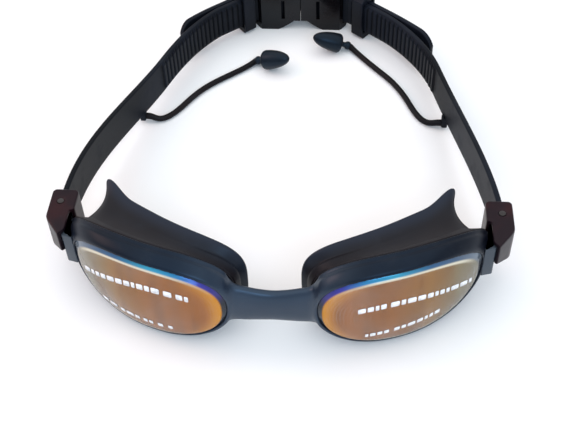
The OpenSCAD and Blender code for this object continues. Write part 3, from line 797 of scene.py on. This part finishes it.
def plate_rings(outline, radii, low, high, soft):
    """An upright plate of a rounded plan outline, its top and bottom edges rounded by insets."""
    plan = filleted(outline, np.array(radii), 6)
    after = np.roll(plan, -1, 0) - np.roll(plan, 1, 0)
    normal = unit(np.stack([after[:, 1], -after[:, 0]], -1))
    steps = np.linspace(0, np.pi / 2, 5)
    inwards, upwards = soft * (1 - np.sin(steps)), soft * (1 - np.cos(steps))
    inset = np.concatenate([[soft * 2.2], inwards, inwards[::-1], [soft * 2.2]])
    height = np.concatenate([[low], low + upwards, high - upwards[::-1], [high]])
    rings = plan[None] - normal[None] * inset[:, None, None]
    z = np.broadcast_to(height[:, None, None], (*rings.shape[:2], 1))
    return np.concatenate([rings, z], -1)


# Each printed line as three points on the lens, across and up; a smooth curve runs through them
PRINT_LINES = {
    "left": [((27.6, 27.5), (47.7, 29.0), (69.0, 18.6)), ((34.8, 9.8), (47.0, 10.4), (61.0, 9.8))],
    "right": [((29.0, 24.4), (48.0, 26.4), (67.6, 19.1)), ((31.8, 9.6), (43.0, 12.0), (56.0, 13.4))],
}


def print_bars(lines, seed):
    """Plain white bars of uneven length along each line, laid on the film."""
    random = np.random.default_rng(seed)
    points, faces = [], []
    for line in lines:
        curve = np.polyfit(*np.array(line).T, 2)
        x, last = line[0][0], line[-1][0]
        while x < last:
            length = random.uniform(1.1, 3.0)
            turn = np.linspace(0, 2 * np.pi, 28, endpoint=False)
            px = x + length / 2 + length / 2 * signed_power(np.cos(turn), 0.35)
            pz = np.polyval(curve, px) + 1.15 * signed_power(np.sin(turn), 0.35)
            sides = np.abs(px - EYE_X) / LENS_A, np.abs(pz - EYE_Z) / LENS_B
            share = (sides[0] ** (2 / EYE_POWER) + sides[1] ** (2 / EYE_POWER)) ** (EYE_POWER / 2)
            if share.max() < 0.91:
                for lift in (FILM_T + 0.02, FILM_T + 0.05):
                    points.append(np.stack([px, wrap_y(px) - LENS_BULGE * (1 - share**2) - lift, pz], -1))
                start = (len(points) - 2) * 28
                faces += (grid_faces(2, 28, False) + start).tolist()
                faces += [list(range(start, start + 28)), list(range(start + 28, start + 56))]
            x += length + (random.uniform(1.3, 1.9) if random.random() < 0.2 else 0.55)
    return np.concatenate(points), faces


gasket, gasket_reach = gasket_rings()
lens, lens_marks = lens_rings()
film = film_rings()
arm = plate_rings(arm_outline(), [0.2, 0.8, 0.2, 0.2, 0.6, 0.2], PIN_Z - ARM_H / 2, PIN_Z + ARM_H / 2, 0.3)


def make_lens(name, hand):
    """The lens and its side arm as one piece."""
    # these values give the arm the lens's edge colours: the near-black painted shade with some of the painted
    # reflection band
    arm_marks = {k: np.full(arm.shape[:2], v) for k, v in (("share", 0.99), ("across", 0.98), ("crown", 0.22))}
    parts = [(lens, lens_marks), (arm, arm_marks)]
    points, faces, marks, start = [], [], {k: [] for k in lens_marks}, 0
    for rings, given in parts:
        count, m = rings.shape[:2]
        faces += (grid_faces(count, m, False) + start).tolist()
        if rings is arm:
            faces += [[start + j for j in range(m)], [start + (count - 1) * m + j for j in range(m)]]
        points.append(rings.reshape(-1, 3) * hand)
        for k in marks:
            marks[k].append(np.asarray(given[k]).ravel())
        start += count * m
    return new_object(name, np.concatenate(points), faces, {k: np.concatenate(v) for k, v in marks.items()})


for side_name, hand, seed in (("left", LEFT, 11), ("right", RIGHT, 5)):
    piece = skin(f"{side_name}_gasket_skirt", gasket * hand, closed=True, marks={"reach": gasket_reach})
    fit_out(piece, finish["gasket"], "goggles", "gasket_silicone", f"{side_name}_gasket")
    piece = make_lens(f"{side_name}_lens_glass", hand)
    fit_out(piece, finish["lens"], "goggles", "lens", f"{side_name}_lens")
    piece = skin(f"{side_name}_film_sheet", film * hand, caps=False)
    fit_out(piece, finish["film"], "goggles", "protective_film", f"{side_name}_lens_film")
    bars, bar_faces = print_bars(PRINT_LINES[side_name], seed)
    piece = new_object(f"{side_name}_film_bars", bars * hand, bar_faces)
    fit_out(piece, finish["print"], "goggles", "protective_film")

# ---- straps ----

STRAP_W, STRAP_T, RIB_H, RIB_PITCH = 15.0, 2.0, 0.8, 2.8
LEFT_TAIL, RIGHT_TAIL, BAR_R = 20.0, 29.0, 1.3
LINE_START, LINE_END = np.array([36.5, 75.6]), np.array([23.0, 86.6])
LINE_DIR = unit(LINE_END - LINE_START)
LINE_SIDE = np.array([LINE_DIR[1], -LINE_DIR[0]])
BAR = np.array([9.5, 91.3])
FOLD_R = BAR_R + 0.15 + STRAP_T / 2
TAIL_GAP = STRAP_T + 0.5
RIB_COUNT = round(46 / RIB_PITCH)
LINE_RIBS = int(np.linalg.norm(LINE_END - LINE_START) // RIB_PITCH)
LEFT_BOW = [[PIN_X - 0.2, -22.4], [69.3, 4.6], [58, 36], [52.8, 51.5], [46.8, 65]]
RIGHT_BOW = [[PIN_X - 0.2, -40], [67.6, 10], [61, 36.8], [57, 52.9], [46.5, 67.4]]


def bezier(a, b, c, d, t):
    a, b, c, d = (np.asarray(p, float) for p in (a, b, c, d))
    t = t[:, None]
    s = 1 - t
    return s**3 * a + 3 * s * s * t * b + 3 * s * t * t * c + t**3 * d


def strap_plan(tail, bow):
    """Fine plan points from the pin, along the bow, round the clasp's bar and back as a tail, and at each the
    rib phase (how many ribs have passed, or -1 where there are none), if it is on the tail, and how near the tip."""
    bow = [np.array(p, float) for p in bow]
    tail_start = LINE_END + LINE_SIDE * TAIL_GAP
    tail_line_end = LINE_START + LINE_SIDE * TAIL_GAP
    fine = 18

    def share(n, closed=False):
        return np.arange(n + (1 if closed else 0)) / n

    n_ribs, n_line = RIB_COUNT * fine, LINE_RIBS * fine
    turn = np.radians(np.arange(0, 180, 10))[:, None]
    low = BAR - [0, FOLD_R]
    high = BAR + [0, FOLD_R]
    parts = [
        (bezier([PIN_X, PIN_Y + 1], bow[0], bow[1], bow[2], share(120)), None),
        (bezier(bow[2], bow[3], bow[4], LINE_START, share(n_ribs)), np.arange(n_ribs) / fine),
        (LINE_START + (LINE_END - LINE_START) * share(n_line)[:, None], np.arange(n_line) / fine),
        (bezier(LINE_END, LINE_END + LINE_DIR * 4, low + [6, 0], low, share(24)), None),
        (BAR + FOLD_R * np.concatenate([-np.sin(turn), -np.cos(turn)], 1), None),
        (bezier(high, high + [5, 0], tail_start + LINE_DIR * 5, tail_start, share(24)), None),
        (tail_start + (tail_line_end - tail_start) * share(n_line)[:, None], np.arange(n_line) / fine),
        (bezier(
            tail_line_end, tail_line_end - LINE_DIR * tail * 0.35,
            tail_line_end - LINE_DIR * tail * 0.68 - LINE_SIDE * 0.6,
            tail_line_end - LINE_DIR * tail - LINE_SIDE * 2.2, share(60, True),
        ), None),
    ]
    plan = np.concatenate([p for p, _ in parts])
    phase = np.concatenate([np.full(len(p), -1.0) if r is None else r for p, r in parts])
    on_tail = np.concatenate([np.full(len(p), i >= 5) for i, (p, _) in enumerate(parts)])
    tip = np.concatenate([np.zeros(len(p)) if i < 7 else share(60, True) for i, (p, _) in enumerate(parts)])
    return plan, phase, on_tail, tip


def strap_rings(tail, bow):
    """A flat band with rounded edges carried along its plan, with soft ribs between margins on one face."""
    plan, phase, on_tail, tip = strap_plan(tail, bow)
    along = unit(np.gradient(plan, axis=0))
    out = np.stack([along[:, 1], -along[:, 0]], -1)
    fall = smooth_step((plan[:, 1] - PIN_Y - 6) / (FALL_END_Y - PIN_Y))
    z = np.where(on_tail, BACK_Z, PIN_Z + (BACK_Z - PIN_Z) * fall)
    part = phase % 1.0
    rib = np.where(phase < 0, 0.0, smooth_step((part - 0.18) / 0.2) * smooth_step((1.02 - part) / 0.14))
    width = np.sqrt(np.clip(1 - np.maximum(0, (tip - 0.72) / 0.3) ** 2, 0.02, 1))
    half = STRAP_W / 2 * width
    h = np.concatenate([
        [-0.985], np.linspace(-0.94, 0.94, 27), [0.985, 1.0, 1.0, 0.985],
        np.linspace(0.93, -0.93, 9), [-0.985, -1.0, -1.0],
    ])
    inner = np.concatenate([
        [-0.93], np.full(27, -1.0), [-0.93, -0.55, 0.55, 0.93], np.full(9, 1.0), [0.93, 0.55, -0.55],
    ])
    margin = np.concatenate([[0], smooth_step((0.9 - np.abs(h[1:28])) / 0.08), np.zeros(len(h) - 28)])
    across = inner[None, :] * STRAP_T / 2 - rib[:, None] * RIB_H * margin[None, :]
    x = plan[:, 0, None] + out[:, 0, None] * across
    y = plan[:, 1, None] + out[:, 1, None] * across
    rings = np.stack([x, y, z[:, None] + half[:, None] * h[None, :]], -1)
    # low in the grooves between the ribs, where the strap's finish paints shade
    groove = np.where((phase < 0)[:, None], 1.0, 1 - (1 - rib[:, None]) * margin[None, :])
    length = np.concatenate([[0], np.cumsum(np.linalg.norm(np.diff(plan, axis=0), axis=1))])
    uv = np.broadcast_arrays(length[:, None] * MM, (h * STRAP_W / 2 * MM)[None, :])
    return rings, groove, uv


def turned(profile, centre):
    """Rings of a profile of (radius, height) turned about an upright axis."""
    turn = np.linspace(0, 2 * np.pi, 48, endpoint=False)
    profile = np.asarray(profile, float)
    x = centre[0] + profile[:, 0, None] * np.cos(turn)
    y = centre[1] + profile[:, 0, None] * np.sin(turn)
    return np.stack(np.broadcast_arrays(x, y, profile[:, 1, None]), -1)


def make_strap(side_name, hand, tail, bow):
    """The band, its eye round the pin, and the boss that its cord leaves."""
    rings, groove, uv = strap_rings(tail, bow)
    piece = skin(f"{side_name}_strap_band", rings * hand, marks={"groove": groove}, uv=uv)
    fit_out(piece, finish["strap"], f"{side_name}_half_strap", "strap_silicone", f"{side_name}_strap")
    r, bore, low, high = PIN_R + 1.2, PIN_R + 0.05, PIN_Z - STRAP_W / 2, PIN_Z + STRAP_W / 2
    lower = [(bore, 0.2), (bore + 0.2, 0), (r - 0.35, 0), (r - 0.1, 0.1), (r, 0.4)]
    profile = [(x, low + z) for x, z in lower] + [(r, PIN_Z)] + [(x, high - z) for x, z in lower[::-1]]
    eye = turned(profile, (PIN_X, PIN_Y))
    piece = skin(f"{side_name}_strap_eye", eye * hand, closed=True, marks={"groove": np.ones(eye.shape[:2])})
    fit_out(piece, finish["strap"], f"{side_name}_half_strap", "strap_silicone")
    inner, outer, side = BOSS_FACE + 0.02, BOSS_FACE + 2.5, 1.9
    box = np.array([[inner, BOSS_Y - side], [outer, BOSS_Y - side], [outer, BOSS_Y + side], [inner, BOSS_Y + side]])
    boss = plate_rings(box, [0.9, 0.5, 0.5, 0.9], 1.3, 6.4, 0.6)
    piece = skin(f"{side_name}_strap_boss", boss * hand, marks={"groove": np.ones(boss.shape[:2])})
    fit_out(piece, finish["strap"], f"{side_name}_half_strap", "strap_silicone")


make_strap("left", LEFT, LEFT_TAIL, LEFT_BOW)
make_strap("right", RIGHT, RIGHT_TAIL, RIGHT_BOW)

# ---- clips, keepers and clasp: the CAD shapes with their edges rounded ----


def softened(node, name, width):
    """A copy of a CAD node, merged, with its flat faces made whole and its edges rounded."""
    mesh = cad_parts[node].data.copy()
    mesh.name = name
    bm = bmesh.new()
    bm.from_mesh(mesh)
    bmesh.ops.remove_doubles(bm, verts=bm.verts, dist=2e-6)
    bmesh.ops.dissolve_limit(bm, angle_limit=np.radians(1.0), verts=bm.verts, edges=bm.edges)
    bm.to_mesh(mesh)
    bm.free()
    obj = bpy.data.objects.new(name, mesh)
    SCENE.collection.objects.link(obj)
    bevel = obj.modifiers.new("soft_edges", "BEVEL")
    bevel.width = width * MM
    bevel.segments = 3
    bevel.limit_method = "ANGLE"
    bevel.angle_limit = np.radians(28)
    bevel.use_clamp_overlap = True
    mesh.shade_smooth()
    weighted = obj.modifiers.new("flat_faces", "WEIGHTED_NORMAL")
    weighted.keep_sharp = True
    return obj


def rounded_off(node, name):
    """A copy of a CAD node on a fine voxel grid, its edges worn round by repeated averaging."""
    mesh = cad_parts[node].data.copy()
    close_seams(mesh)
    rough = bpy.data.objects.new(f"{name}_rough", mesh)
    SCENE.collection.objects.link(rough)
    mesh, points, edges = one_skin(rough, name, 0.3)
    return from_skin(name, mesh, relax(points, edges, np.full(len(points), 0.6), 14))


for side_name in ("left", "right"):
    node = f"{side_name}_side_clip"
    fit_out(rounded_off(node, f"{side_name}_clip_shell"), finish["clip"], "goggles", "clip_plastic", node)
    fit_out(softened(f"{side_name}_keeper", f"{side_name}_keeper_loop", 0.45), finish["keeper"],
            f"{side_name}_keeper_band", "keeper_silicone", f"{side_name}_keeper")
    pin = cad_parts[f"{side_name}_hinge_pin"]
    pin.data.materials.clear()
    pin.data.materials.append(finish["pin"])
for side_name, node in (("left", "left_clasp_socket"), ("right", "right_clasp_tongue")):
    piece = softened(node, f"{side_name}_clasp_half", 0.35)
    fit_out(piece, finish["clasp"], f"{side_name}_half_strap", "clasp_plastic", node)

# ---- floor, lights and sky ----


def make_floor():
    """A wide pale floor with a barely visible grain."""
    points = np.array([[-3000.0, -3000, 0], [3000, -3000, 0], [3000, 3000, 0], [-3000, 3000, 0]])
    floor = new_object("floor", points, [[0, 1, 2, 3]], tidy=False)
    material, n, shader = new_material("pale_floor")
    where = n.add("ShaderNodeTexCoord").outputs["Object"]
    pale = [(0.3, (0.93, 0.93, 0.93)), (0.7, (0.95, 0.95, 0.95))]
    n.put(shader, "Base Color", n.ramp(n.noise(where, 30.0, 4.0), pale))
    shader.inputs["Roughness"].default_value = 0.85
    shader.inputs["Specular IOR Level"].default_value = 0.1
    floor.data.materials.append(material)


def soft_light(name, place, target, size, watts, colour):
    """A square soft light that faces a target."""
    data = bpy.data.lights.new(name, "AREA")
    data.shape = "RECTANGLE"
    data.size, data.size_y = size
    data.energy = watts
    data.color = colour
    light = bpy.data.objects.new(name, data)
    SCENE.collection.objects.link(light)
    place, target = np.array(place, float), np.array(target, float)
    back = unit(place - target)
    across = unit(np.cross([0, 0, 1.0], back) + np.array([1e-6, 0, 0]))
    up = np.cross(back, across)
    matrix = np.eye(4)
    matrix[:3, 0], matrix[:3, 1], matrix[:3, 2], matrix[:3, 3] = across, up, back, place
    light.matrix_world = matrix.T.tolist()


make_floor()
soft_light("window", (0.25, -0.8, 0.6), (0, -0.05, 0), (0.5, 0.35), 2.6, (0.5, 0.74, 1.0))
soft_light("ceiling", (0, -0.1, 1.6), (0, 0, 0), (3.0, 3.0), 21.0, (1.0, 0.99, 0.98))
soft_light("lamp", (-0.8, 0.1, 0.5), (0, 0, 0), (0.4, 0.4), 1.6, (1.0, 0.55, 0.42))
world = bpy.data.worlds.new("sky")
SCENE.world = world
world.use_nodes = True
world.node_tree.nodes["Background"].inputs[0].default_value = (0.95, 0.97, 1.0, 1.0)
world.node_tree.nodes["Background"].inputs[1].default_value = 0.78
SCENE.view_settings.view_transform = "Standard"
SCENE.view_settings.look = "None"
